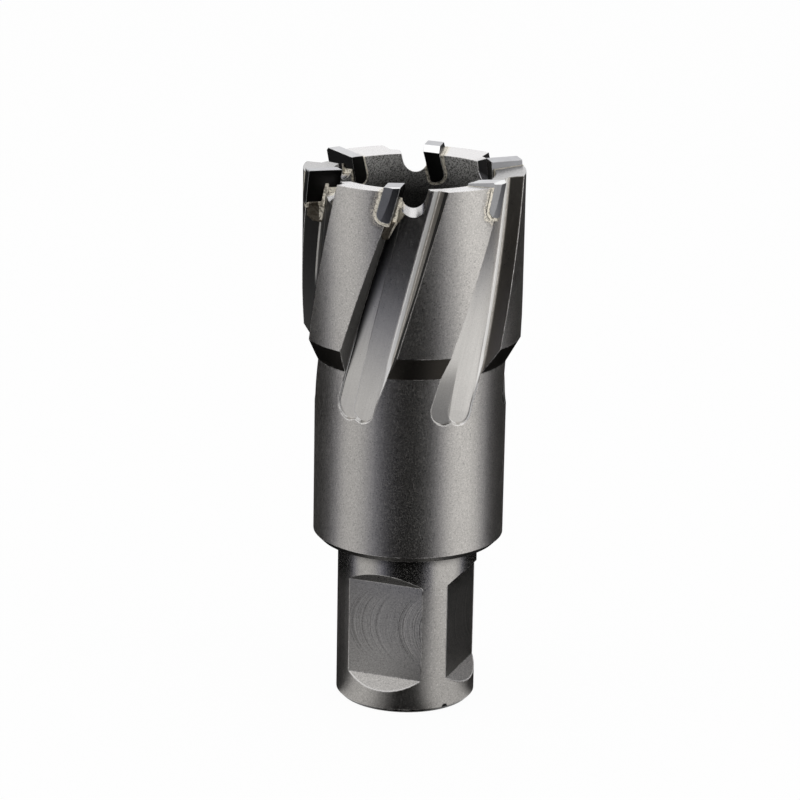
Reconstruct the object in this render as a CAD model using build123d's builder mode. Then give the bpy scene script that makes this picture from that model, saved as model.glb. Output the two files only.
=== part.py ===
"""Hollow core cutter for metal: one steel body on a two-flat shank, six brazed carbide tips.

The cutter stands on the end of its shank with the teeth up. The origin is the centre of the
shank's end face, +Z runs up the axis to the teeth, sizes are in millimetres.
"""

import os
from math import cos, pi, radians, sin, tan

from build123d import *

os.makedirs("parts", exist_ok=True)

# Driving sizes of the cut
teeth = 6
cut_d = 30.0  # diameter of the hole it cuts
kerf = 4.5  # radial width of a carbide tip
head_clear = 0.2  # head stands inside the cut by this much
core_clear = 0.34  # head bore stands outside the core by this much
core_depth = 38.0  # depth of the hollow under the rim

# Driving sizes of the shank
shank_d = 19.05
shank_len = 22.8
shank_chamfer = 0.55
flat_across = 7.9  # axis to flat
flat_low = 4.65
flat_high = 18.0
flat_run = 1.7  # length of the sloped end of a flat
flat_angle = -110.95
pilot_d = 6.5

# Driving sizes of the body and head
body_d = 25.9
body_chamfer = 0.82
body_len = 24.7
cone_len = 3.3
head_len = 22.2
rim_fall = 0.38  # rim is this much lower at the bore than outside
over = 3.0  # cuts run past the steel by this much

# Driving sizes of the teeth
tooth_angle = -101.0
tip_stand = 0.7  # height of the tips over the rim
tip_thick = 2.1
tip_deep = 4.85  # length of a tip along its lean
tip_lean = 15.0
tip_corner = 0.5  # radius of the lower corner at the cutting side
tip_margin = 0.9
tip_relief = 10.0
top_relief = 3.0
roof_drop, roof_run = 0.65, 1.55  # slope at the inner end of the first roof line
roof_fall, roof_break = 0.7, 0.4  # slope of the second roof line and its outer bevel
roof_dip = 0.08  # slope of the third roof line
edge_run, edge_drop = 0.15, 0.12  # small bevel at the outer end

# Driving sizes of the braze round a tip
seam = 0.45
proud = 0.1  # braze stands out of the steel by this much
bead_top = 1.7  # bead ahead of a tip starts this far under the top
bead_thin, bead_thick = 0.3, 0.9
bead_low, bead_high = 0.12, 0.5  # radial height of the bead at its top and at its foot
run_len = 2.6  # run under a tip
run_thick, run_thin = 0.78, 0.3
run_back = 1.0  # outer edge of the run ends this far behind the cutting face
root = 0.3  # braze is drawn this much into the steel, then trimmed by it

# Driving sizes of the gullets and flutes
gullet_r = 1.8
gullet_fall = 30.5
gullet_angle = 10.5
gullet_deep = 1.7  # centre of the groove under the rim, at the floor of the flute
flute_len = 31.8
mill_over = 1.2  # mill stands out of the head by this much
lead_half, lead_floor, lead_flare = 1.9, 12.49, 19.0
lead_angle, lead_pitch = -27.9, 262.8
trail_half, trail_floor, trail_flare = 1.58, 12.45, 32.5
trail_angle, trail_pitch = -18.0, 324.3
trail_tilt = 4.5  # floor of the second pass rises towards the next tooth
wall_half, wall_flare = 2.34, 29.4  # third pass, which widens the second at its wall
wall_rise = 0.05  # its floor stands this much over the second
wall_up, wall_ease = 9.3, 6.8  # full width from here over the foot of the flutes, eased in below

# Radii and heights that follow
cut_r = cut_d / 2
head_r = cut_r - head_clear
tip_in_r = cut_r - kerf
bore_r = tip_in_r + core_clear
shank_r, body_r, pilot_r = shank_d / 2, body_d / 2, pilot_d / 2
z_body = shank_len + body_chamfer
z_cone = shank_len + body_len + body_chamfer
z_head = z_cone + cone_len
z_rim = z_head + head_len
z_top = z_rim + tip_stand
z_core = z_rim - core_depth


def mill_plane(floor, height, pitch, tilt=0.0, down=0.0):
    """Plane across a pass, this far down its helix, with its floor tilted by some degrees."""
    turn = -2 * pi * down / pitch
    out = Vector(cos(turn), sin(turn), 0)
    climb = Vector(-out.Y, out.X, pitch / (2 * pi * floor))
    origin = floor * out + Vector(0, 0, height - down)
    return Plane(origin=origin, x_dir=out, z_dir=climb).rotated((0, 0, -tilt))


def mill_helix(floor, height, pitch):
    """Path of a pass from its start to above the rim."""
    return Helix(pitch=pitch, height=z_rim + over - height, radius=floor, center=(0, 0, height))


def mill_pass(half, floor, flare, height, pitch, tilt=0.0):
    """Space swept by one pass of a tapered mill that climbs the wall from its round run-out."""
    reach = head_r + mill_over - floor
    wide = half + reach * tan(radians(flare))
    start = mill_plane(floor, height, pitch, tilt)
    with BuildLine() as climb:
        mill_helix(floor, height, pitch)
    with BuildPart() as space:
        with BuildSketch(start):
            with BuildLine():
                Polyline((0, -half), (0, half), (reach, wide), (reach, -wide), close=True)
            make_face()
        sweep(path=climb.line, is_frenet=True)
        with BuildSketch(start) as side:
            with BuildLine():
                Polyline((0, 0), (0, half), (reach, wide), (reach, 0), close=True)
            make_face()
        revolve(side.sketch, axis=Axis(start.origin, -start.x_dir), revolution_arc=180)
    return space.part


def wall_pass(narrow, floor, height, pitch, tilt):
    """Space swept at the wall of the second pass, from narrow to full width and up to the rim."""
    reach = head_r + mill_over - floor
    flare = reach * tan(radians(wall_flare))
    with BuildLine() as climb:
        mill_helix(floor, height, pitch)
    with BuildPart() as space:
        sides = []
        for down, half in ((wall_ease, narrow), (0, wall_half)):
            with BuildSketch(mill_plane(floor, height, pitch, tilt, down)) as side:
                with BuildLine():
                    Polyline((0, 0), (0, half), (reach, half + flare), (reach, 0), close=True)
                make_face()
            sides.append(side.sketch)
        loft(sections=sides)
        sweep(sections=sides[1], path=climb.line, is_frenet=True)
    return space.part


def round_slot(origin, along, across, radius, up, ahead, behind, corner=0.0):
    """Round-bottomed slot cut along one direction, open upwards; corner tightens one lower corner."""
    with BuildPart() as space:
        with BuildSketch(Plane(origin=origin, x_dir=across, z_dir=along).offset(-behind)):
            Circle(radius)
            Rectangle(2 * radius, up, align=(Align.CENTER, Align.MIN))
            if corner:
                Rectangle(radius, radius, align=(Align.MIN, Align.MAX))
                fillet(vertices().group_by(Axis.Y)[0].sort_by(Axis.X)[-1], corner)
        extrude(amount=ahead + behind)
    return space.part


# Slot frame of a gullet, drawn at angle 0: it falls outwards and leans with the flute
lean, fall = radians(tip_lean), radians(gullet_fall)
gullet_along = (cos(fall), 0, -sin(fall))
gullet_across = (-sin(lean) * sin(fall), cos(lean), -sin(lean) * cos(fall))
gullet_space = round_slot(
    (trail_floor, 0, z_rim - gullet_deep),
    gullet_along,
    gullet_across,
    gullet_r,
    gullet_deep + 2 * over,
    head_r - trail_floor + over,
    trail_floor - bore_r + over,
).rotate(Axis.Z, gullet_angle)

# Slot frame of a tip, drawn at angle 0: its mid plane meets the axis at the height of the top
tip_face = tip_thick / 2
tip_across = (0, cos(lean), -sin(lean))
tip_frame = Plane(origin=(0, 0, z_top), x_dir=(1, 0, 0), z_dir=(0, sin(lean), cos(lean)))
tip_mid = tip_frame.from_local_coords((0, 0, tip_face - tip_deep))


def tip_slot(extra):
    """Slot that holds a tip, wider than the tip by extra, with its front corner the tighter one."""
    return round_slot(
        tip_mid,
        (1, 0, 0),
        tip_across,
        tip_face + extra,
        tip_deep + over,
        cut_r + over,
        over - bore_r,
        corner=tip_corner + extra,
    )


# Steel body: turned shape first
with BuildPart() as cutter_body:
    with BuildSketch(Plane.XZ):
        with BuildLine():
            Polyline(
                (pilot_r, 0),
                (shank_r - shank_chamfer, 0),
                (shank_r, shank_chamfer),
                (shank_r, shank_len),
                (body_r - body_chamfer, shank_len),
                (body_r, z_body),
                (body_r, z_cone),
                (head_r, z_head),
                (head_r, z_rim),
                (bore_r, z_rim - rim_fall),
                (bore_r, z_core),
                (pilot_r, z_core),
                close=True,
            )
        make_face()
    revolve(axis=Axis.Z)

    # Two clamping flats at right angles, each with sloped ends
    rise = over * flat_run / (shank_r - flat_across)
    for turn in (flat_angle, flat_angle + 90):
        out = Vector(cos(radians(turn)), sin(radians(turn)), 0)
        side = Vector(-out.Y, out.X, 0)
        with BuildSketch(Plane(origin=(0, 0, 0), x_dir=out, z_dir=-side)):
            with BuildLine():
                Polyline(
                    (flat_across, flat_low),
                    (flat_across, flat_high),
                    (flat_across + over, flat_high + rise),
                    (flat_across + over, flat_low - rise),
                    close=True,
                )
            make_face()
        extrude(amount=shank_r, both=True, mode=Mode.SUBTRACT)

    # Flutes: two overlapping passes and one at the wall, then the gullets and the tip pockets
    lead_z = z_rim - flute_len + lead_half
    trail_z = z_rim - flute_len + trail_half
    lead_space = mill_pass(lead_half, lead_floor, lead_flare, lead_z, lead_pitch)
    trail_space = mill_pass(trail_half, trail_floor, trail_flare, trail_z, trail_pitch, trail_tilt)
    wall_z = z_rim - flute_len + wall_up
    wall_angle = trail_angle + 360 * (wall_z - trail_z) / trail_pitch
    wall_space = wall_pass(trail_half, trail_floor + wall_rise, wall_z, trail_pitch, trail_tilt)
    with PolarLocations(0, teeth, start_angle=tooth_angle + lead_angle):
        add(lead_space, mode=Mode.SUBTRACT)
    with PolarLocations(0, teeth, start_angle=tooth_angle + trail_angle):
        add(trail_space, mode=Mode.SUBTRACT)
    with PolarLocations(0, teeth, start_angle=tooth_angle + wall_angle):
        add(wall_space, mode=Mode.SUBTRACT)
    with PolarLocations(0, teeth, start_angle=tooth_angle):
        add(gullet_space, mode=Mode.SUBTRACT)
    with PolarLocations(0, teeth, start_angle=tooth_angle):
        add(tip_slot(seam), mode=Mode.SUBTRACT)

cutter_body.part.label = "cutter_body"
export_step(cutter_body.part, "parts/cutter_body.step")


def tip_shape(roof):
    """Carbide tip drawn at angle 0 with its cutting side towards +Y, under one roof line."""
    low = z_top - 2 * tip_deep
    with BuildPart() as tip:
        add(tip_slot(0))
        with BuildSketch(Plane.XZ):
            with Locations(((tip_in_r + cut_r) / 2, z_top - tip_deep)):
                Rectangle(kerf, 4 * tip_deep)
        revolve(axis=Axis.Z, mode=Mode.INTERSECT)

        # Roof line over the tip, falling away behind the cutting edge
        with BuildSketch(Plane.XZ.offset(-tip_face / cos(lean))):
            with BuildLine():
                Polyline(
                    (tip_in_r - over, low),
                    (tip_in_r - over, z_top + roof[0][1]),
                    *[(radius, z_top + drop) for radius, drop in roof],
                    (cut_r + over, z_top + roof[-1][1]),
                    (cut_r + over, low),
                    close=True,
                )
            make_face()
        back = (0, -cos(radians(top_relief)), -sin(radians(top_relief)))
        extrude(amount=2 * tip_deep, dir=back, mode=Mode.INTERSECT)

        # Relief behind the narrow margin of the outer face
        margin = tip_face - tip_margin
        with BuildSketch(tip_frame):
            with BuildLine():
                Polyline(
                    (cut_r, margin),
                    (cut_r - tip_thick * tan(radians(tip_relief)), margin - tip_thick),
                    (cut_r + over, margin - tip_thick),
                    (cut_r + over, margin),
                    close=True,
                )
            make_face()
        extrude(amount=2 * tip_deep, both=True, mode=Mode.SUBTRACT)
    return tip.part


def run_section(height, out, ahead, behind):
    """Braze in the corner ahead of a tip, cut across at one height along the tip."""
    inner = trail_floor - root
    rear = tip_face - run_back - root
    with BuildSketch(tip_frame.offset(height)) as cut:
        with BuildLine():
            Polyline(
                (inner, tip_face + ahead),
                (out, tip_face - behind),
                (out, rear),
                (inner, rear),
                close=True,
            )
        make_face()
    return cut.sketch


def braze_shape():
    """Braze round one tip, with the bead and the run it leaves ahead of and under the tip."""
    sole = -tip_deep
    edge = head_r - root
    with BuildPart() as braze:
        add(tip_slot(seam))
        with BuildSketch(Plane.XZ):
            with BuildLine():
                Polyline(
                    (bore_r - proud, z_rim - 2 * tip_deep),
                    (head_r + proud, z_rim - 2 * tip_deep),
                    (head_r + proud, z_rim),
                    (head_r, z_rim),
                    (bore_r, z_rim - rim_fall),
                    (bore_r - proud, z_rim - rim_fall),
                    close=True,
                )
            make_face()
        revolve(axis=Axis.Z, mode=Mode.INTERSECT)

        # Over the flute the seam stays behind the cutting face of the tip
        with BuildSketch(tip_frame.offset(-2 * tip_deep)):
            with Locations((trail_floor - root / 2, tip_face)):
                Rectangle(cut_d, 2 * over, align=Align.MIN)
        extrude(amount=3 * tip_deep, mode=Mode.SUBTRACT)
        add(gullet_space, mode=Mode.SUBTRACT)
        loft(
            sections=[
                run_section(-bead_top, trail_floor + bead_low, bead_thin, 0),
                run_section(sole, trail_floor + bead_high, bead_thick, 0),
            ]
        )
        loft(
            sections=[
                run_section(sole, edge, run_thick, 0),
                run_section(sole - run_len, edge, run_thin, run_back),
            ]
        )
        add(tip_slot(0), mode=Mode.SUBTRACT)
        add(cutter_body.part.rotate(Axis.Z, -tooth_angle), mode=Mode.SUBTRACT)
    return braze.part


# Three roof lines share the cut between them and repeat on opposite teeth
roof_end = ((cut_r - edge_run, 0), (cut_r, -edge_drop))
roofs = (
    ((tip_in_r, -roof_drop), (tip_in_r + roof_run, 0), *roof_end),
    ((tip_in_r, -roof_fall), (cut_r - roof_break, 0), (cut_r, -roof_break)),
    ((tip_in_r, -roof_dip), *roof_end),
)
tips = [tip_shape(roof) for roof in roofs]
braze = braze_shape()
for k in range(teeth):
    angle = tooth_angle + 360 / teeth * k
    tip = tips[k % len(tips)].rotate(Axis.Z, angle)
    tip.label = f"carbide_tip_{k + 1}"
    export_step(tip, f"parts/carbide_tip_{k + 1}.step")
    bead = braze.rotate(Axis.Z, angle)
    bead.label = f"braze_{k + 1}"
    export_step(bead, f"parts/braze_{k + 1}.step")
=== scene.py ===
import math

from types import SimpleNamespace

import bmesh
import bpy
from bpy.props import FloatProperty, FloatVectorProperty, PointerProperty
from mathutils import Matrix, Vector

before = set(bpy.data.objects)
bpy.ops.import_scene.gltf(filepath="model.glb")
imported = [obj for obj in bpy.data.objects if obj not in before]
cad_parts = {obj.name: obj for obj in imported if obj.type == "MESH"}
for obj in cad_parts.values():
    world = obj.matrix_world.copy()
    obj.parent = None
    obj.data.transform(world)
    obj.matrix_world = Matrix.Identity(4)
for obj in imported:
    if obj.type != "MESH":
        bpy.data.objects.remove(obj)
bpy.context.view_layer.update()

bl_info = {
    "name": "Annular Cutter Dressing",
    "version": (1, 0, 0),
    "blender": (4, 5, 0),
    "location": "View3D > Sidebar > Cutter",
    "description": "Finishes for a core cutter with brazed carbide tips, and a plain studio",
    "category": "Object",
}

MM = 0.001
TEETH = 6
TIPS = ["carbide_tip_%d" % (k + 1) for k in range(TEETH)]
SEAMS = ["braze_%d" % (k + 1) for k in range(TEETH)]

# Sizes of the cutter as the solid has them, in millimetres and degrees
SHANK_R = 9.525
BODY_R = 12.95
HEAD_R = 14.8
BORE_R = 10.84
Z_BODY = 23.62
Z_CONE = 48.32
Z_HEAD = 51.62
Z_TOP = 74.52
FLAT_ACROSS = 7.9
FLAT_ANGLE = -110.95
TOOTH_ANGLE = -101.0
TIP_LEAN = 15.0
TIP_DEEP = 4.85
TIP_HALF = 1.05

# Heights and radii at which a finish of the body changes, in millimetres
Z_SHANK = 22.72
Z_FLATS = (2.0, 20.5)
Z_HOLLOW = 30.0
Z_RUN_OUT = 43.3
Z_LIPS = 47.0
Z_UPPER_SLOPE = 14.0
FLOOR_R = 12.6
FOOT_R = 12.75
WALL_R = 13.05

# Heights from which and to which a finish, the shank's painted shadow and the hollow's painted
# shade fade, in millimetres
SHANK_SMOOTH = (15.0, 20.0)
SHANK_SHADOW = (20.6, 22.5)
SEAM_FADE = (56.0, 50.0)
SMEAR_FADE = (57.0, 60.0)
PATCH_FADE = (51.0, 47.0)
HOLLOW_SHADE = (67.5, 73.3)

# Radii between which the two painted highlights beside the trailing walls rise and end
CORNER_RISE, CORNER_END = (12.68, 12.73), (12.84, 12.8)
CREASE_RISE, CREASE_END = (12.8, 12.84), (13.15, 12.95)

# A place along the flutes is the angle of a point followed down the leading pass to its start
LEAD_PITCH, LEAD_START = 262.8, 43.9
BRUSH_PITCH = 290.0
FIRST_WALL, FIRST_BACK, FIRST_WIDE = -138.0, -1.5, 16.0
FAR_SHADE_AT, FAR_SHADE_HALF = -110.0, 10.0
RIGHT_AT, RIGHT_HALF, RIGHT_TOP = 2.0, 20.0, 44.0
LEFT_START, LEFT_WIDE = -203.0, 37.0
SOFT = 2.0

# The smear on the left flute's wall lies at this radius at this height, and further out below
SMEAR_WIDE, SMEAR_R, SMEAR_Z, SMEAR_OUT = 12.0, 12.74, 66.0, 0.03

# The darker lobe of the second flute: its place at a height, and its lean in degrees per millimetre
PATCH_AT, PATCH_HALF, PATCH_Z, PATCH_LEAN = -71.5, 7.2, 43.0, 0.67

# Width of the painted shade at the first wall from a height on, and depth of the painted shade on
# the far edge from its top down
SHADE_Z, SHADE_WIDE, SHADE_LEAST, SHADE_GROWS = 48.5, 1.5, 0.6, 0.55
FAR_SHADE_Z, FAR_SHADE_DEEP, FAR_SHADE_GROWS = 60.0, 0.85, 0.1

# Marks: circle of the mill on the flats, two lands of the rim in painted shade, a nick at the foot
# in painted shade
MILL_R, MILL_Z, MILL_FADE = 5.6, 12.0, (5.2, 3.0)
SHADED_LANDS_ANGLE = 8.0
NICK_ANGLE, NICK_Z = -55.0, 0.45

# Tones of worn, smeared and stained steel, of painted highlights, glints and painted shade on it,
# of old filler and of the carbide
WORN_HIGHLIGHT, FLECK_GLINT, PITTED = (0.85, 0.83, 0.81), (0.85, 0.83, 0.8), (0.1, 0.098, 0.095)
BRIM_HIGHLIGHT, CORNER_HIGHLIGHT, JOIN_HIGHLIGHT = (0.9, 0.89, 0.88), (0.84, 0.83, 0.81), (0.85, 0.84, 0.83)
LIP_HIGHLIGHT, SMEAR, CREASE_HIGHLIGHT = (0.95, 0.94, 0.93), (0.6, 0.585, 0.55), (0.42, 0.39, 0.35)
BROWNISH, UNDERSIDE_SHADE, NICK_SHADE = (0.2, 0.18, 0.155), (0.03, 0.029, 0.028), (0.01, 0.01, 0.01)
BORE_LIT = (0.6, 0.59, 0.57)
RUN_TOP, RUN_FOOT = (0.5, 0.46, 0.37), (0.15, 0.13, 0.1)
TIP_EDGE_HIGHLIGHT, TIP_SLOPE_HIGHLIGHT, TIP_PAINTED_DARK = (0.9, 0.9, 0.89), (0.95, 0.95, 0.95), (0.035, 0.034, 0.033)

# Tones of the world, of the matt black painted shade on the steel, of the surround's cloth and of
# its windows
WHITE, SHADE_BLACK, CLOTH = (1.0, 1.0, 1.0, 1.0), (0.018, 0.018, 0.018, 1.0), (0.01, 0.01, 0.01, 1.0)
BLUISH = (0.76, 0.79, 1.0)

# Windows of the dark surround, in degrees from the front and millimetres over the floor
LEFT_RISE, LEFT_FALL = (-22, -63), (-101, -79)
RIGHT_RISE, RIGHT_FALL = (27, 51), (104, 80)
BACK_RISE, BACK_UP = (158, 172), (0, 60)
ABOVE_RISE, ABOVE_UP = (60, 80), (250, 450)

# Next to the shank, over these radii, both side windows turn by some degrees
NEAR_FLOOR, NEAR_TURN = (60, 15), 14

# Rings of the surround as radius and height in metres, and its sides; reach of the floor
CLOTH_RINGS = ((0.0091, 0.0001), (0.6, 0.0001), (0.6, 0.9))
CLOTH_SIDES = 72
FLOOR_REACH = 6.0
AIM = Vector((0.0, 0.0, 0.04))


class BodyFinish(bpy.types.PropertyGroup):
    """Colours and grain of the steel body"""

    coat: FloatVectorProperty(
        name="Satin steel",
        description="Colour of the satin surface on shank, body and head",
        subtype="COLOR",
        default=(0.5, 0.48, 0.455),
    )
    ground: FloatVectorProperty(
        name="Ground steel",
        description="Colour of the bare steel in the flutes and gullets",
        subtype="COLOR",
        default=(0.555, 0.538, 0.514),
    )
    # The rim's colour is painted lighter than the ground steel of the flutes: a painted highlight
    # from above
    crown: FloatVectorProperty(
        name="Rim",
        description="Colour of the ground rim between the tips",
        subtype="COLOR",
        default=(0.81, 0.795, 0.795),
    )
    flat: FloatVectorProperty(
        name="Drive flats",
        description="Colour of the milled flats on the shank",
        subtype="COLOR",
        default=(0.38, 0.367, 0.351),
    )
    # Painted light: the front flat is painted lighter to one side
    flat_light_balance: FloatProperty(
        name="Flat balance",
        description="How much lighter the front flat grows to one side, per millimetre",
        default=0.055,
    )
    wall_shade: FloatProperty(
        name="Wall shade",
        description="How much darker the side walls of the flutes are than their floors",
        default=0.65,
        min=0.0,
        max=1.0,
    )
    fillet: FloatProperty(
        name="Flute corner",
        description="Radius by which the corners of the flutes look rounded",
        subtype="DISTANCE",
        default=0.3 * MM,
        min=0.0,
    )
    # The dark cone is painted dark: a painted dark reflection
    band: FloatVectorProperty(
        name="Dark cone",
        description="Colour of the dark band between body and head",
        subtype="COLOR",
        default=(0.045, 0.04, 0.034),
    )
    grain: FloatProperty(
        name="Grain size",
        description="Size of the speckle in the satin surface",
        subtype="DISTANCE",
        default=0.19 * MM,
        min=0.02 * MM,
    )
    # Edge wear, and a painted highlight along each edge
    edge: FloatProperty(
        name="Worn edge",
        description="Width of the bright line along each edge",
        subtype="DISTANCE",
        default=0.13 * MM,
        min=0.0,
    )


class TipFinish(bpy.types.PropertyGroup):
    """Colours of the carbide tips and of their braze"""

    carbide: FloatVectorProperty(
        name="Carbide",
        description="Colour of the ground carbide",
        subtype="COLOR",
        default=(0.26, 0.26, 0.265),
    )
    # The tops are painted lighter than the carbide: a painted highlight from above
    ground: FloatVectorProperty(
        name="Tip tops",
        description="Colour of the ground top of a tip",
        subtype="COLOR",
        default=(0.5, 0.5, 0.52),
    )
    braze: FloatVectorProperty(
        name="Braze",
        description="Colour of the filler metal round the tips",
        subtype="COLOR",
        default=(0.8, 0.745, 0.63),
    )
    scorch: FloatVectorProperty(
        name="Flux stain",
        description="Colour of the brown film left by the brazing",
        subtype="COLOR",
        default=(0.07, 0.055, 0.036),
    )


class Studio(bpy.types.PropertyGroup):
    """Camera, lamps and floor"""

    camera_at: FloatVectorProperty(
        name="Camera",
        description="Place of the camera",
        subtype="TRANSLATION",
        unit="LENGTH",
        default=(0.0, -0.421817, 0.166802),
    )
    camera_turn: FloatVectorProperty(
        name="Camera angles",
        description="Pan, tilt and roll of the camera",
        subtype="EULER",
        default=(-0.0033, 0.2882, 0.0184),
    )
    lens: FloatProperty(
        name="Lens",
        description="Focal length of the camera in millimetres",
        default=146.24,
        min=10.0,
    )
    left_level: FloatProperty(
        name="Left softbox",
        description="Brightness of the softbox on the left",
        default=0.9,
        min=0.0,
    )
    right_level: FloatProperty(
        name="Right softbox",
        description="Brightness of the softbox on the right",
        default=1.2,
        min=0.0,
    )
    top_level: FloatProperty(
        name="Top softbox",
        description="Brightness of the softbox overhead",
        default=0.4,
        min=0.0,
    )
    world_level: FloatProperty(
        name="Room",
        description="Brightness of the room's own light",
        default=0.75,
        min=0.0,
    )
    floor_white: FloatProperty(
        name="Floor white",
        description="Share of plain white in the floor as camera and metal see it",
        default=0.96,
        min=0.0,
        max=1.0,
    )
    left_window: FloatProperty(
        name="Left window",
        description="How far the dark surround opens on the left",
        default=0.78,
        min=0.0,
        max=1.0,
    )
    floor: FloatVectorProperty(
        name="Floor",
        description="Colour of the floor",
        subtype="COLOR",
        default=(0.86, 0.86, 0.86),
    )


class Term:
    """A shader value in an expression: each operator on it adds one Math node."""

    def __init__(self, paint, socket):
        self.paint, self.socket = paint, socket

    def __add__(self, other):
        return self.paint.math("ADD", self, other)

    def __sub__(self, other):
        return self.paint.math("SUBTRACT", self, other)

    def __rsub__(self, other):
        return self.paint.math("SUBTRACT", other, self)

    def __mul__(self, other):
        return self.paint.math("MULTIPLY", self, other)

    def __truediv__(self, other):
        return self.paint.math("DIVIDE", self, other)

    def __rtruediv__(self, other):
        return self.paint.math("DIVIDE", other, self)

    def __pow__(self, other):
        return self.paint.math("POWER", self, other)

    def __gt__(self, other):
        return self.paint.math("GREATER_THAN", self, other)

    def __lt__(self, other):
        return self.paint.math("LESS_THAN", self, other)

    def __abs__(self):
        return self.paint.math("ABSOLUTE", self)

    def __neg__(self):
        return self.paint.math("MULTIPLY", self, -1.0)

    __radd__ = __add__
    __rmul__ = __mul__


class Paint:
    """The nodes of a material or world: they come by kind, settings and socket values."""

    def __init__(self, owner):
        self.owner = owner
        owner.use_nodes = True
        self.tree = owner.node_tree
        self.tree.nodes.clear()

    def node(self, kind, settings=None, sockets=None):
        """A new node: its settings are set first, then its sockets take values or links."""
        made = self.tree.nodes.new("ShaderNode" + kind)
        for key, value in (settings or {}).items():
            setattr(made, key, value)
        for key, value in (sockets or {}).items():
            if isinstance(value, Term):
                self.tree.links.new(value.socket, made.inputs[key])
            else:
                made.inputs[key].default_value = value
        return made

    def term(self, kind, output, settings=None, sockets=None):
        return Term(self, self.node(kind, settings, sockets).outputs[output])

    def split(self, vector):
        """The three parts of a vector."""
        parts = self.node("SeparateXYZ", None, {0: vector})
        return [Term(self, out) for out in parts.outputs]

    def math(self, operation, *values):
        return self.term("Math", 0, {"operation": operation}, dict(enumerate(values)))

    def larger(self, first, second):
        return self.math("MAXIMUM", first, second)

    def vector(self, operation, *values, output=0):
        return self.term("VectorMath", output, {"operation": operation}, dict(enumerate(values)))

    def step(self, value, low, high, start=0.0, end=1.0):
        """A soft step of value, from start at low to end at high."""
        sockets = {0: value, 1: low, 2: high, 3: start, 4: end}
        return self.term("MapRange", 0, {"interpolation_type": "SMOOTHSTEP"}, sockets)

    def noise(self, place, size, detail, rough):
        """Noise about 0.5, with features of the given size in millimetres."""
        sockets = {"Vector": place, "Scale": 1.0 / size, "Detail": detail, "Roughness": rough}
        return self.term("TexNoise", 0, {"noise_dimensions": "3D"}, sockets)

    def mix(self, factor, first, second, blend="MIX"):
        """A colour between first and second."""
        settings = {"data_type": "RGBA", "blend_type": blend}
        sockets = {0: factor, 6: self.color(first), 7: self.color(second)}
        return self.term("Mix", 2, settings, sockets)

    def mix_normal(self, factor, first, second):
        return self.term("Mix", 1, {"data_type": "VECTOR"}, {0: factor, 4: first, 5: second})

    def shade(self, color, tone):
        """The colour times a tone."""
        return self.mix(1.0, color, self.combine(tone, tone, tone), "MULTIPLY")

    def color(self, value):
        if isinstance(value, Term):
            return value
        value = tuple(value)
        return value if len(value) == 4 else value + (1.0,)

    def place(self):
        """The place on the object in millimetres, with its x, y and z."""
        at = self.term("TexCoord", "Object")
        at = self.term("VectorMath", 0, {"operation": "SCALE"}, {0: at, 3: 1.0 / MM})
        return at, self.split(at)

    def facing(self, x, y, radius):
        """How far the surface faces along its turn, outwards and up, each from -1 to 1."""
        nx, ny, up = self.split(self.term("NewGeometry", "True Normal"))
        return (ny * x - nx * y) / radius, (nx * x + ny * y) / radius, up

    def plainly_seen(self):
        """1 for camera, mirror and transmission rays, 0 for the rest."""
        rays = self.node("LightPath").outputs
        kinds = ("Camera", "Glossy", "Transmission")
        seen = [Term(self, rays["Is %s Ray" % kind]) for kind in kinds]
        return self.math("MINIMUM", seen[0] + seen[1] + seen[2], 1.0)

    def combine(self, x, y, z):
        return self.term("CombineXYZ", 0, None, {0: x, 1: y, 2: z})

    def edges(self, width):
        """How near an edge is, from 0 to 1, and the normal with the edges rounded."""
        rounded = self.term("Bevel", 0, {"samples": 4}, {0: width})
        shape = self.term("NewGeometry", "Normal")
        along = self.vector("DOT_PRODUCT", rounded, shape, output=1)
        return self.step(along, 0.997, 0.955), rounded

    def metal(self, color, roughness, normal, metallic, shade_cover=None):
        """The finished material; the last argument is how far a matt black layer of painted shade
        covers it.
        """
        sockets = {
            "Base Color": color,
            "Roughness": roughness,
            "Metallic": metallic,
            "Normal": normal,
        }
        shader = self.term("BsdfPrincipled", 0, None, sockets)
        if shade_cover is not None:
            black = self.term("BsdfDiffuse", 0, None, {0: SHADE_BLACK})
            shader = self.term("MixShader", 0, None, {0: shade_cover, 1: shader, 2: black})
        self.node("OutputMaterial", None, {0: shader})
        return self.owner

    def bump(self, height, strength, distance, normal):
        sockets = {
            "Strength": strength,
            "Distance": distance,
            "Height": height,
            "Normal": normal,
        }
        return self.term("Bump", 0, None, sockets)


def tooth_place(paint, x, y, z, radius):
    """Place next to the nearest tooth: across it, along it, and distance from the tip's outline."""
    angle = paint.math("ARCTAN2", y, x) - math.radians(TOOTH_ANGLE)
    half = math.pi / TEETH
    beside = radius * paint.math("SINE", paint.math("WRAP", angle, half, -half))
    lean = math.radians(TIP_LEAN)
    across = beside * math.cos(lean) - (z - Z_TOP) * math.sin(lean)
    along = beside * math.sin(lean) + (z - Z_TOP) * math.cos(lean)
    under = paint.math("MINIMUM", along + (TIP_DEEP - TIP_HALF), 0.0)
    return across, along, (across * across + under * under) ** 0.5 - TIP_HALF


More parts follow.
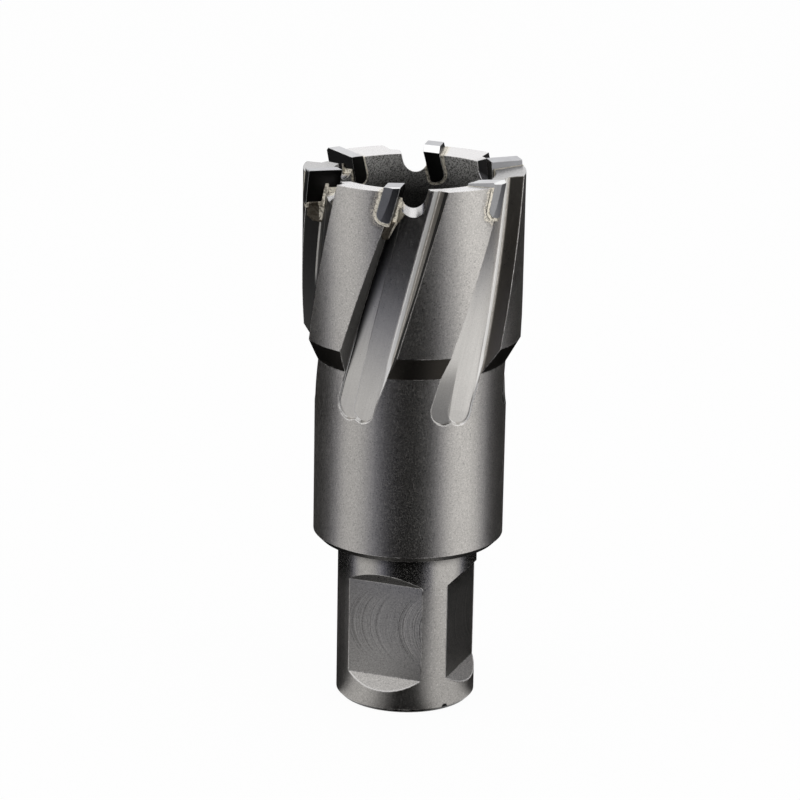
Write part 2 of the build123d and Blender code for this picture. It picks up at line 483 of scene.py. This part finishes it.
def steel_zones(paint):
    """Where each finish of the body lies, as masks from 0 to 1, and the speckle they share."""
    at, (x, y, z) = paint.place()
    radius = (x * x + y * y) ** 0.5
    turned_to, _, up = paint.facing(x, y, radius)

    # Milled surfaces lie deeper than the turned ones; the rim faces up, the hollow lies inside
    widen = paint.larger((z - Z_CONE) / (Z_HEAD - Z_CONE), 0.0)
    widen = paint.math("MINIMUM", widen, 1.0)
    depth = widen * (HEAD_R - BODY_R) + BODY_R - radius
    outside = paint.step(radius, BORE_R + 0.12, BORE_R + 0.2)
    over_foot = z > Z_BODY + 0.3
    milled = paint.step(depth, 0.03, 0.07) * over_foot * outside
    rim = paint.step(up, 0.35, 0.5) * (z > Z_HEAD)
    bare = paint.larger(milled, rim)
    inner = (1 - outside) * (z > Z_HOLLOW) * (1 - rim)
    # The cone between body and head is painted dark, a painted dark reflection
    band = paint.step(z, Z_CONE - 0.15, Z_CONE + 0.1) * paint.step(z, Z_HEAD + 0.1, Z_HEAD - 0.1)
    band = band * (1 - bare) * (1 - inner)
    # What faces down gets painted shade
    under = paint.step(up, -0.25, -0.5) * (1 - milled) * (1 - band) * (1 - inner)

    # Walls of the flutes, joins of their passes, and painted highlights along both
    flute = milled * (1 - rim)
    walls = flute * paint.step(abs(turned_to), 0.35, 0.6) * paint.step(radius, FOOT_R, WALL_R)
    leading = paint.step(turned_to, 0.5, 0.7)
    trailing = paint.step(turned_to, -0.1, -0.14)
    joins = milled * paint.step(radius, 12.85, 12.65)
    seam = joins * paint.step(turned_to, 0.15, 0.35) * paint.step(z, *SEAM_FADE)
    corner = paint.step(radius, *CORNER_RISE) * paint.step(radius, *CORNER_END)
    corner = corner * flute * trailing
    crease_highlight = paint.step(radius, *CREASE_RISE) * paint.step(radius, *CREASE_END)
    crease_highlight = crease_highlight * flute * trailing * (z > Z_LIPS)
    level = milled * (radius < FLOOR_R) * paint.step(abs(turned_to), 0.4, 0.2)

    # The flutes at the two silhouettes get painted shade, a matt black layer, and the left one has
    # a smear of filler
    angle = paint.math("ARCTAN2", y, x) * (180.0 / math.pi)
    helix = angle - (z - LEAD_START) * (360.0 / LEAD_PITCH)
    right = paint.step(abs(helix - RIGHT_AT), RIGHT_HALF + SOFT, RIGHT_HALF)
    ending = paint.larger(paint.step(turned_to, -0.3, -0.5), z < Z_RUN_OUT)
    right_shade = (depth > 0.012) * right * ending * outside
    from_left = paint.math("WRAP", helix - LEFT_START, 360.0, 0.0)
    off_line = abs(radius - (SMEAR_Z - z) * SMEAR_OUT - SMEAR_R)
    smear = (from_left < SMEAR_WIDE) * leading * paint.step(z, *SMEAR_FADE)
    smear = smear * paint.step(off_line, 0.15, 0.08)
    low_or_wall = paint.larger(paint.step(radius, 12.82, 12.7), leading)
    left_shade = flute * (from_left < LEFT_WIDE) * low_or_wall * (1 - smear)

    # The first flute gets painted shade along its leading wall and on the far edge
    from_wall = helix - FIRST_WALL
    reach_in = paint.larger((z - SHADE_Z) * SHADE_GROWS + SHADE_WIDE, SHADE_LEAST)
    shaded = (from_wall > FIRST_BACK) * (from_wall < FIRST_WIDE) * (radius < FOOT_R)
    shaded = shaded * paint.step(from_wall / reach_in, 1.0, 0.1)
    far_edge = paint.larger(FAR_SHADE_Z - z, 0.0) * FAR_SHADE_GROWS + FAR_SHADE_DEEP
    far_edge_shade = paint.step(abs(helix - FAR_SHADE_AT), FAR_SHADE_HALF + SOFT, FAR_SHADE_HALF)
    far_edge_shade = far_edge_shade * (depth < far_edge) * (1 - rim)

    # One lobe of the second flute is darker, and the ends of all flutes have a painted highlight
    # along their lip
    leaning = helix + (z - PATCH_Z) * PATCH_LEAN
    patch = milled * paint.step(abs(leaning - PATCH_AT), PATCH_HALF + 0.3, PATCH_HALF)
    patch = patch * paint.step(z, *PATCH_FADE)
    lip_highlight = paint.step(depth, 0.015, 0.04) * paint.step(depth, 0.15, 0.09)
    lip_highlight = lip_highlight * over_foot * (z < Z_LIPS) * (1 - corner) * (1 - right_shade)

    return SimpleNamespace(
        at=at,
        x=x,
        y=y,
        z=z,
        radius=radius,
        turned_to=turned_to,
        up=up,
        angle=angle,
        milled=milled,
        flute=flute,
        rim=rim,
        bare=bare,
        inner=inner,
        band=band,
        under=under,
        walls=walls,
        leading=leading,
        joins=joins,
        seam=seam,
        corner=corner,
        crease_highlight=crease_highlight,
        level=level,
        right=right,
        right_shade=right_shade,
        smear=smear,
        left_shade=left_shade,
        shaded=shaded,
        far_edge_shade=far_edge_shade,
        patch=patch,
        lip_highlight=lip_highlight,
        shank=z < Z_SHANK,
    )


def satin_coat(paint, zone, speckle, look):
    """The satin surface: speckle, bright flecks as painted glints, pits, slow changes of tone, and
    a painted shadow under the body's edge.
    """
    tone = (speckle.fine - 0.5) * 0.95 + (speckle.coarse - 0.5) * 0.3
    tone = tone + (speckle.slow - 0.5) * 0.16 + 1.0
    tone = tone * (1 - zone.shank * 0.12)
    # Painted shadow on the top of the shank, under the body's edge
    tone = tone * (1 - zone.shank * paint.step(zone.z, *SHANK_SHADOW) * 0.8)
    coat = paint.shade(look.coat, tone)
    # Bright flecks: painted glints of the grain
    coat = paint.mix(paint.step(speckle.fine, 0.6, 0.72) * 0.35, coat, FLECK_GLINT)
    return paint.mix(paint.step(speckle.fine, 0.42, 0.3) * 0.3, coat, PITTED)


def bare_steel(paint, zone, speckle, look):
    """Ground steel of flutes and gullets, with a darker lobe and painted shade on walls and flutes,
    and of the rim: painted lighter as a painted highlight, with painted shade on two opposite lands
    and on its slopes.
    """
    tone = (speckle.brush - 0.5) * 0.2 + (speckle.wide - 0.5) * 0.16
    tone = tone + (speckle.fine - 0.5) * 0.42 + 1.0
    tone = tone * (1 - zone.walls * look.wall_shade) * (1 - zone.patch * 0.45)
    tone = tone * (1 - zone.far_edge_shade * zone.walls * 0.85)
    tone = tone * (1 - zone.right_shade * 0.95) * (1 - zone.shaded * 0.94)
    twice = (zone.angle - SHADED_LANDS_ANGLE) * (math.pi / 90.0)
    opposite = paint.step(paint.math("COSINE", twice), 0.2, 0.7)
    crown = (speckle.fine - 0.5) * 0.12 + (speckle.coarse - 0.5) * 0.1 + 1.0
    # Painted shade on the two side lands of the rim and on its sloped parts
    crown = crown - opposite * paint.step(zone.up, 0.9, 0.95) * 0.42
    crown = crown * (1 - paint.step(zone.up, 0.95, 0.9) * 0.3)
    ground = paint.shade(look.ground, tone)
    return paint.mix(zone.rim, ground, paint.shade(look.crown, crown))


def drive_flats(paint, zone, speckle, look):
    """The two milled flats: where they are, painted highlights on their edges, the mill's arcs,
    their colour with painted light and shade.
    """
    flats, brim_highlight, gain, marks = 0.0, 0.0, 1.0, 0.5
    low, high = Z_FLATS
    for turn, slope_tone in ((0, 1.45), (90, 1.9)):
        a = math.radians(FLAT_ANGLE + turn)
        out = zone.x * math.cos(a) + zone.y * math.sin(a)
        side = zone.y * math.cos(a) - zone.x * math.sin(a)
        cut = (out > FLAT_ACROSS - 0.05) * (zone.radius < SHANK_R - 0.04)
        cut = cut * (zone.z < high) * (zone.z > low)
        level = (out < FLAT_ACROSS + 0.05) * cut

        # Arcs of the mill, stronger in some groups, and only near its circle
        rise = abs(zone.z - MILL_Z)
        sweep = side + paint.larger(MILL_R * MILL_R - rise * rise, 0.0) ** 0.5
        arc = paint.noise(paint.combine(sweep, turn + 0.5, 0.0), 0.13, 0.0, 0.5)
        group = paint.noise(paint.combine(sweep, turn + 7.5, 0.0), 2.4, 0.0, 0.5)
        shown = level * paint.step(rise, *MILL_FADE) * (paint.step(group, 0.4, 0.6) * 0.7 + 0.3)
        marks = shown * (arc - 0.5) + marks

        # Tone of the level part and of the sloped ends, with painted light and shade: the front
        # flat lighter to one side, the lower ends lighter, the upper ends darker
        level_tone = 1.05 if turn else side * look.flat_light_balance + 1.02
        ends_tone = slope_tone - (zone.z > Z_UPPER_SLOPE) * 0.75
        gain = (level * level_tone + (cut - level) * ends_tone + (1 - cut)) * gain
        # Painted highlight along the edges of the flats
        edge = cut * paint.step(zone.radius, SHANK_R - 0.15, SHANK_R - 0.1)
        brim_highlight = (edge if turn else edge * (1 - level)) + brim_highlight
        flats = paint.larger(cut, flats)
    tone = ((marks - 0.5) * 2.0 + (speckle.fine - 0.5) * 1.5 + 1.0) * gain
    return flats, brim_highlight, marks, paint.shade(look.flat, tone)


def stain_sockets(paint, zone, speckle, color, tips):
    """The colour with flux stains and spilt filler round the tip sockets, and the filler's run."""
    across, along, gap = tooth_place(paint, zone.x, zone.y, zone.z, zone.radius)
    blot = paint.noise(zone.at, 0.5, 3.0, 0.6) - 0.5
    near = (1 - zone.milled) * (1 - zone.inner) * (1 - zone.rim) * (along < 0.5)
    stain = near * paint.step(gap + blot * 1.4, 1.5, 0.8) * 0.35
    spill = near * paint.step(gap + blot * 1.1, 1.0, 0.75)
    socket = zone.milled * (1 - paint.step(zone.up, 0.1, 0.3))
    socket = socket * paint.step(gap + blot, 1.5, 0.7) * 0.8
    run = zone.milled * paint.step(zone.up, 0.3, 0.1) * paint.step(gap + blot * 1.1, 1.25, 0.95)
    run = run * paint.step(across, -0.2, 0.2)
    crest = zone.rim * paint.step(gap + blot * 0.9, 0.85, 0.65)
    aged = paint.mix(paint.step(along, -3.2, -5.4), RUN_TOP, RUN_FOOT)
    aged = paint.mix(paint.step(speckle.fine, 0.48, 0.36) * 0.6, aged, tips.scorch)
    color = paint.mix(stain, color, tips.scorch)
    color = paint.mix(spill * paint.step(speckle.fine, 0.42, 0.55) * 0.8, color, tips.braze)
    color = paint.mix(socket, color, tips.scorch)
    color = paint.mix(run * 0.9, color, aged)
    return paint.mix(crest * 0.8, color, tips.braze), run


def steel_speckle(paint, zone, look):
    """Noise for the body: speckle, slow changes of tone, and brush lines along the flutes."""
    back = zone.z * (-math.tau / BRUSH_PITCH)
    turned = paint.term("VectorRotate", 0, {"rotation_type": "Z_AXIS"}, {0: zone.at, "Angle": back})
    lines = paint.vector("MULTIPLY", turned, (1.0, 1.0, 0.02))
    return SimpleNamespace(
        fine=paint.noise(zone.at, look.grain / MM, 2.0, 0.7),
        coarse=paint.noise(zone.at, 0.42, 3.0, 0.6),
        slow=paint.noise(zone.at, 9.0, 2.0, 0.5),
        spark=paint.step(paint.noise(zone.at, 0.27, 2.0, 0.6), 0.5, 0.68),
        chips=paint.step(paint.noise(zone.at, 0.6, 3.0, 0.6), 0.35, 0.6),
        brush=paint.noise(lines, 0.25, 3.0, 0.6),
        wide=paint.noise(lines, 1.3, 2.0, 0.5),
    )


def steel_normal(paint, zone, edge_mask, rounded, fillet):
    """The body's normal: walls of the flutes meet in a fillet, joins of the floors stay sharp."""
    smooth = paint.term("Bevel", 0, {"samples": 6}, {0: fillet})
    rounded = paint.mix_normal(zone.flute * (1 - edge_mask) * (1 - zone.level), rounded, smooth)
    sharp = paint.term("NewGeometry", "Normal")
    return paint.mix_normal(zone.level * (1 - zone.rim), rounded, sharp)


def steel_finish(look, tips):
    """Satin steel, a cone painted dark as a painted dark reflection, ground flutes, milled flats
    and stained sockets in one, with painted highlights and painted shade.
    """
    paint = Paint(bpy.data.materials.new("cutter_steel"))
    zone = steel_zones(paint)
    speckle = steel_speckle(paint, zone, look)
    flats, brim_highlight, marks, flat_color = drive_flats(paint, zone, speckle, look)

    # Colours of the finishes, then of the painted highlights, painted dark reflection and smeared
    # lines on them
    color = paint.mix(flats, satin_coat(paint, zone, speckle, look), flat_color)
    color = paint.mix(brim_highlight * 0.6, color, BRIM_HIGHLIGHT)
    # Painted dark reflection on the cone
    color = paint.mix(zone.band, color, look.band)
    color = paint.mix(zone.bare, color, bare_steel(paint, zone, speckle, look))
    trailing_wall = zone.walls * paint.step(zone.turned_to, -0.5, -0.7)
    color = paint.mix(trailing_wall * 0.6, color, BROWNISH)
    # Painted highlights beside the trailing walls and along the joins, a smear of filler, a painted
    # highlight at the flutes' lip
    color = paint.mix(zone.crease_highlight, color, CREASE_HIGHLIGHT)
    color = paint.mix(zone.corner, color, CORNER_HIGHLIGHT)
    color = paint.mix(zone.seam * 0.8, color, JOIN_HIGHLIGHT)
    color = paint.mix(zone.smear * 0.8, color, SMEAR)
    color = paint.mix(zone.lip_highlight * 0.8, color, LIP_HIGHLIGHT)

    # Painted shade: the hollow grows darker downwards, and what faces down is painted dark too
    hollow = paint.mix(paint.step(speckle.fine, 0.35, 0.65), PITTED, BORE_LIT)
    hollow = paint.shade(hollow, paint.step(zone.z, *HOLLOW_SHADE, 0.1, 1.0))
    color = paint.mix(zone.inner, color, hollow)
    color = paint.mix(zone.under * 0.85, color, UNDERSIDE_SHADE)
    color, run = stain_sockets(paint, zone, speckle, color, tips)

    # Nick at the foot of the shank, painted near-black as the painted shade in the dent
    a = math.radians(NICK_ANGLE)
    nick_at = (SHANK_R * math.cos(a), SHANK_R * math.sin(a), NICK_Z)
    chip = paint.vector("DISTANCE", zone.at, nick_at, output=1)
    color = paint.mix(paint.step(chip, 0.55, 0.42), color, NICK_SHADE)

    # Wear and painted highlights along the edges, in chips, but not on the joins or on the far edge
    # in painted shade
    edge_mask, rounded = paint.edges(look.edge)
    edge_mask = edge_mask * (1 - zone.joins)
    worn_highlight = edge_mask * speckle.chips * (1 - zone.far_edge_shade)
    worn_highlight = worn_highlight * (1 - zone.right * (zone.z < RIGHT_TOP))
    color = paint.mix(worn_highlight * 0.85, color, WORN_HIGHLIGHT)

    rough = (speckle.fine - 0.5) * 0.25 + (speckle.slow - 0.5) * 0.06 + 0.37
    rough = rough - zone.bare * 0.04 - edge_mask * 0.08 - zone.rim * 0.08
    rough = rough - zone.shank * paint.step(zone.z, *SHANK_SMOOTH) * 0.12

    # Painted highlights, braze and bare edges scatter light, so they are less than full metal
    metallic = 1 - speckle.spark * 0.075 - zone.inner * 0.5 - zone.band * 0.03
    metallic = metallic - worn_highlight * 0.5 - worn_highlight * zone.shank * 0.3 - brim_highlight * 0.45 - run * 0.6
    metallic = metallic - zone.seam * 0.7 - zone.smear * 0.8 - zone.corner * 0.55
    metallic = metallic - zone.lip_highlight * 0.5 - zone.crease_highlight * 0.6
    metallic = metallic - zone.walls * 0.1 - zone.walls * zone.leading * 0.08

    relief = speckle.fine * (1 - zone.bare * 0.6) + speckle.brush * zone.bare * 0.5
    relief = relief + marks * flats * 3.0
    normal = steel_normal(paint, zone, edge_mask, rounded, look.fillet)
    normal = paint.bump(relief, 0.25, 0.03 * MM, normal)
    # Matt black painted shade over the flutes at the silhouettes and the far edge of the first
    # flute
    painted_shade = paint.larger(paint.larger(zone.right_shade, zone.far_edge_shade * zone.walls), zone.left_shade * 0.9)
    return paint.metal(color, rough, normal, metallic, painted_shade * 0.9)


def carbide_finish(tips):
    """Ground carbide with fine grinding lines, painted highlights on its edges, tops and top
    slopes, and a cutting face painted dark as painted shade and dark reflection.
    """
    paint = Paint(bpy.data.materials.new("ground_carbide"))
    at, (x, y, _) = paint.place()
    turned_to, outwards, up = paint.facing(x, y, (x * x + y * y) ** 0.5)
    fine = paint.noise(at, 0.12, 2.0, 0.6)
    lines = paint.noise(paint.vector("MULTIPLY", at, (1.0, 1.0, 9.0)), 0.35, 3.0, 0.6)
    slow = paint.noise(at, 1.4, 2.0, 0.5)
    tone = (fine - 0.5) * 0.35 + (lines - 0.5) * 0.25 + (slow - 0.5) * 0.25 + 1.0
    top = paint.step(up, 0.4, 0.6)
    # Tops painted lighter, their slopes lighter still: painted highlights
    color = paint.mix(top, tips.carbide, tips.ground)
    color = paint.mix(paint.step(up, 0.99, 0.975) * top, color, TIP_SLOPE_HIGHLIGHT)
    # Cutting and inner faces painted near-black: painted dark reflection and painted shade
    dark = paint.larger(paint.step(turned_to, 0.6, 0.8), paint.step(outwards, -0.6, -0.8))
    color = paint.shade(paint.mix(dark, color, TIP_PAINTED_DARK), tone)
    # Painted highlights along the edges of the tips
    edge_mask, rounded = paint.edges(0.07 * MM)
    color = paint.mix(edge_mask * 0.85, color, TIP_EDGE_HIGHLIGHT)
    rough = (fine - 0.5) * 0.2 + 0.34
    normal = paint.bump(lines + fine * 0.5, 0.2, 0.02 * MM, rounded)
    return paint.metal(color, rough, normal, 1 - edge_mask * 0.3)


def braze_finish(tips):
    """Pale gold filler metal, lumpy, with a brown film over the runs under the tips."""
    paint = Paint(bpy.data.materials.new("silver_braze"))
    at, (x, y, z) = paint.place()
    radius = (x * x + y * y) ** 0.5
    along = tooth_place(paint, x, y, z, radius)[1]
    lump = paint.noise(at, 0.4, 3.0, 0.55)
    fine = paint.noise(at, 0.14, 2.0, 0.6)
    tone = (fine - 0.5) * 0.7 + (lump - 0.5) * 0.5 + 1.0
    low = along + (lump - 0.5) * 1.4 + paint.step(radius, 13.4, 12.9) * 2.8
    film = paint.step(radius, HEAD_R - 0.1, HEAD_R - 0.3) * paint.step(low, -3.9, -4.5)
    color = paint.mix(paint.step(lump, 0.48, 0.4) * 0.6, tips.braze, tips.scorch)
    color = paint.shade(paint.mix(film * 0.9, color, tips.scorch), tone)
    rounded = paint.edges(0.14 * MM)[1]
    rough = (fine - 0.5) * 0.2 + 0.34 + film * 0.2
    normal = paint.bump(lump + fine * 0.3, 0.6, 0.12 * MM, rounded)
    return paint.metal(color, rough, normal, 0.5 + film * 0.4)


def floor_finish(studio):
    """A pale floor: white to camera and mirror rays, and it keeps the shadow."""
    paint = Paint(bpy.data.materials.new("pale_floor"))
    white = paint.plainly_seen() * studio.floor_white
    cloth = paint.term("BsdfDiffuse", 0, None, {0: paint.color(studio.floor)})
    glow = paint.term("Emission", 0, None, {0: WHITE, 1: 1.0})
    both = paint.term("MixShader", 0, None, {0: white, 1: cloth, 2: glow})
    paint.node("OutputMaterial", None, {0: both})
    return paint.owner


def surround_finish(studio):
    """Black cloth with windows on both sides, behind and above; they are bluish at their edges."""
    paint = Paint(bpy.data.materials.new("black_surround"))
    _, (x, y, z) = paint.place()
    turn = paint.math("ARCTAN2", x, -y) * (180.0 / math.pi)
    apart = abs(turn)
    forward = paint.step((x * x + y * y) ** 0.5, *NEAR_FLOOR) * NEAR_TURN
    left = turn - forward
    right = turn + forward
    left = paint.step(left, *LEFT_RISE) * paint.step(left, *LEFT_FALL) * studio.left_window
    right = paint.step(right, *RIGHT_RISE) * paint.step(right, *RIGHT_FALL)
    right = right * (1 - forward * 0.018)
    behind = paint.step(apart, *BACK_RISE) * paint.step(z, *BACK_UP)
    above = paint.step(apart, *ABOVE_RISE) * paint.step(z, *ABOVE_UP)
    open_to = paint.larger(paint.larger(left, right), paint.larger(behind, above))
    plain = paint.larger(paint.step(open_to, 0.2, 0.75), forward / NEAR_TURN)
    tint = paint.mix(plain, BLUISH, WHITE[:3])
    clear = paint.term("BsdfTransparent", 0, None, {0: tint})
    cloth = paint.term("BsdfDiffuse", 0, None, {0: CLOTH})
    both = paint.term("MixShader", 0, None, {0: open_to, 1: cloth, 2: clear})
    paint.node("OutputMaterial", None, {0: both})
    return paint.owner


def stage_piece(name, form, material):
    """An object of the stage, made from the form."""
    mesh = bpy.data.meshes.new(name)
    form.to_mesh(mesh)
    form.free()
    made = bpy.data.objects.new(name, mesh)
    bpy.context.scene.collection.objects.link(made)
    made.data.materials.append(material)
    return made


def surround(name, material):
    """A low bowl of cloth round the cutter, seen only by the metal: a ring and its wall."""
    form = bmesh.new()
    rays = [math.tau * k / CLOTH_SIDES for k in range(CLOTH_SIDES)]
    loops = [
        [form.verts.new((radius * math.sin(a), -radius * math.cos(a), height)) for a in rays]
        for radius, height in CLOTH_RINGS
    ]
    for inner, outer in zip(loops, loops[1:]):
        for k in range(CLOTH_SIDES):
            form.faces.new((inner[k - 1], inner[k], outer[k], outer[k - 1]))
    made = stage_piece(name, form, material)
    made.visible_camera = False
    made.visible_diffuse = False
    made.visible_shadow = False
    made.visible_transmission = False


def floor_sheet(name, reach, material):
    """A flat square sheet on the ground, this far out from the centre."""
    form = bmesh.new()
    signs = ((-1, -1), (1, -1), (1, 1), (-1, 1))
    form.faces.new([form.verts.new((reach * i, reach * j, 0.0)) for i, j in signs])
    stage_piece(name, form, material)


def dress(names, material):
    """Gives the material to every slot of the named CAD pieces."""
    for name in names:
        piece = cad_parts.get(name)
        if piece is None:
            raise RuntimeError("the frame has no piece " + name)
        piece.data.materials.clear()
        piece.data.materials.append(material)


def softbox(name, azimuth, distance, width, height, centre, level):
    """A rectangular lamp at an azimuth from the front, in degrees, that faces the cutter."""
    lamp = bpy.data.lights.new(name, "AREA")
    lamp.shape = "RECTANGLE"
    lamp.size, lamp.size_y = width, height
    lamp.energy = level * math.pi * width * height
    made = bpy.data.objects.new(name, lamp)
    bpy.context.scene.collection.objects.link(made)
    a = math.radians(azimuth)
    made.location = (distance * math.sin(a), -distance * math.cos(a), centre)
    made.rotation_mode = "QUATERNION"
    made.rotation_quaternion = (AIM - made.location).to_track_quat("-Z", "Y")
    made.visible_camera = False


def room(studio):
    """A world that is plain white where it is seen and dimmer as a light."""
    paint = Paint(bpy.data.worlds.new("studio_white"))
    dim = paint.term("Background", 0, None, {0: WHITE, 1: studio.world_level})
    seen = paint.term("Background", 0, None, {0: WHITE, 1: 1.0})
    sky = paint.term("MixShader", 0, None, {0: paint.plainly_seen(), 1: dim, 2: seen})
    paint.node("OutputWorld", None, {0: sky})
    return paint.owner


def camera_matrix(place, angles):
    """Place and turn of a camera from its pan, tilt and roll."""
    pan, tilt, roll = angles
    ahead = Vector(
        (math.sin(pan) * math.cos(tilt), math.cos(pan) * math.cos(tilt), -math.sin(tilt))
    )
    side = Vector((math.cos(pan), -math.sin(pan), 0.0))
    above = side.cross(ahead)
    right = math.cos(roll) * side + math.sin(roll) * above
    up = math.cos(roll) * above - math.sin(roll) * side
    turn = Matrix((right, up, -ahead)).transposed().to_4x4()
    return Matrix.Translation(place) @ turn


class CUTTER_OT_body(bpy.types.Operator):
    """Finish the steel body"""

    bl_idname = "cutter.body"
    bl_label = "Steel Body"

    def execute(self, context):
        scene = context.scene
        dress(["cutter_body"], steel_finish(scene.cutter_body, scene.cutter_tips))
        return {"FINISHED"}


class CUTTER_OT_tips(bpy.types.Operator):
    """Finish the carbide tips"""

    bl_idname = "cutter.tips"
    bl_label = "Carbide Tips"

    def execute(self, context):
        dress(TIPS, carbide_finish(context.scene.cutter_tips))
        return {"FINISHED"}


class CUTTER_OT_braze(bpy.types.Operator):
    """Finish the braze round the tips"""

    bl_idname = "cutter.braze"
    bl_label = "Braze"

    def execute(self, context):
        dress(SEAMS, braze_finish(context.scene.cutter_tips))
        return {"FINISHED"}


class CUTTER_OT_stage(bpy.types.Operator):
    """Set up floor, dark surround, lamps, world and camera"""

    bl_idname = "cutter.stage"
    bl_label = "Studio"

    def execute(self, context):
        scene = context.scene
        studio = scene.cutter_studio
        floor_sheet("floor", FLOOR_REACH, floor_finish(studio))
        surround("surround", surround_finish(studio))
        softbox("left_softbox", -74, 0.5, 0.36, 0.4, 0.2, studio.left_level)
        softbox("right_softbox", 64, 0.5, 0.4, 0.4, 0.2, studio.right_level)
        softbox("top_softbox", 180, 0.12, 0.5, 0.5, 0.75, studio.top_level)
        scene.world = room(studio)

        view = bpy.data.cameras.new("camera")
        view.lens = studio.lens
        view.sensor_width = 36.0
        view.clip_start, view.clip_end = 0.01, 20.0
        camera = bpy.data.objects.new("camera", view)
        scene.collection.objects.link(camera)
        camera.matrix_world = camera_matrix(studio.camera_at, studio.camera_turn)
        scene.camera = camera
        scene.view_settings.view_transform = "Standard"
        return {"FINISHED"}


class CUTTER_PT_panel(bpy.types.Panel):
    """The cutter's pieces and the studio"""

    bl_idname = "CUTTER_PT_panel"
    bl_label = "Annular Cutter"
    bl_space_type = "VIEW_3D"
    bl_region_type = "UI"
    bl_category = "Cutter"

    def draw(self, context):
        layout = self.layout
        groups = (
            (context.scene.cutter_body, ("cutter.body",)),
            (context.scene.cutter_tips, ("cutter.tips", "cutter.braze")),
            (context.scene.cutter_studio, ("cutter.stage",)),
        )
        for group, operators in groups:
            box = layout.box()
            for key in group.__annotations__:
                box.prop(group, key)
            for operator in operators:
                box.operator(operator)


CLASSES = (
    BodyFinish,
    TipFinish,
    Studio,
    CUTTER_OT_body,
    CUTTER_OT_tips,
    CUTTER_OT_braze,
    CUTTER_OT_stage,
    CUTTER_PT_panel,
)
GROUPS = {"cutter_body": BodyFinish, "cutter_tips": TipFinish, "cutter_studio": Studio}


def register():
    for kind in CLASSES:
        bpy.utils.register_class(kind)
    for name, group in GROUPS.items():
        setattr(bpy.types.Scene, name, PointerProperty(type=group))


def unregister():
    for name in GROUPS:
        delattr(bpy.types.Scene, name)
    for kind in reversed(CLASSES):
        bpy.utils.unregister_class(kind)


def main():
    register()
    bpy.ops.cutter.body()
    bpy.ops.cutter.tips()
    bpy.ops.cutter.braze()
    bpy.ops.cutter.stage()


if __name__ == "__main__":
    main()
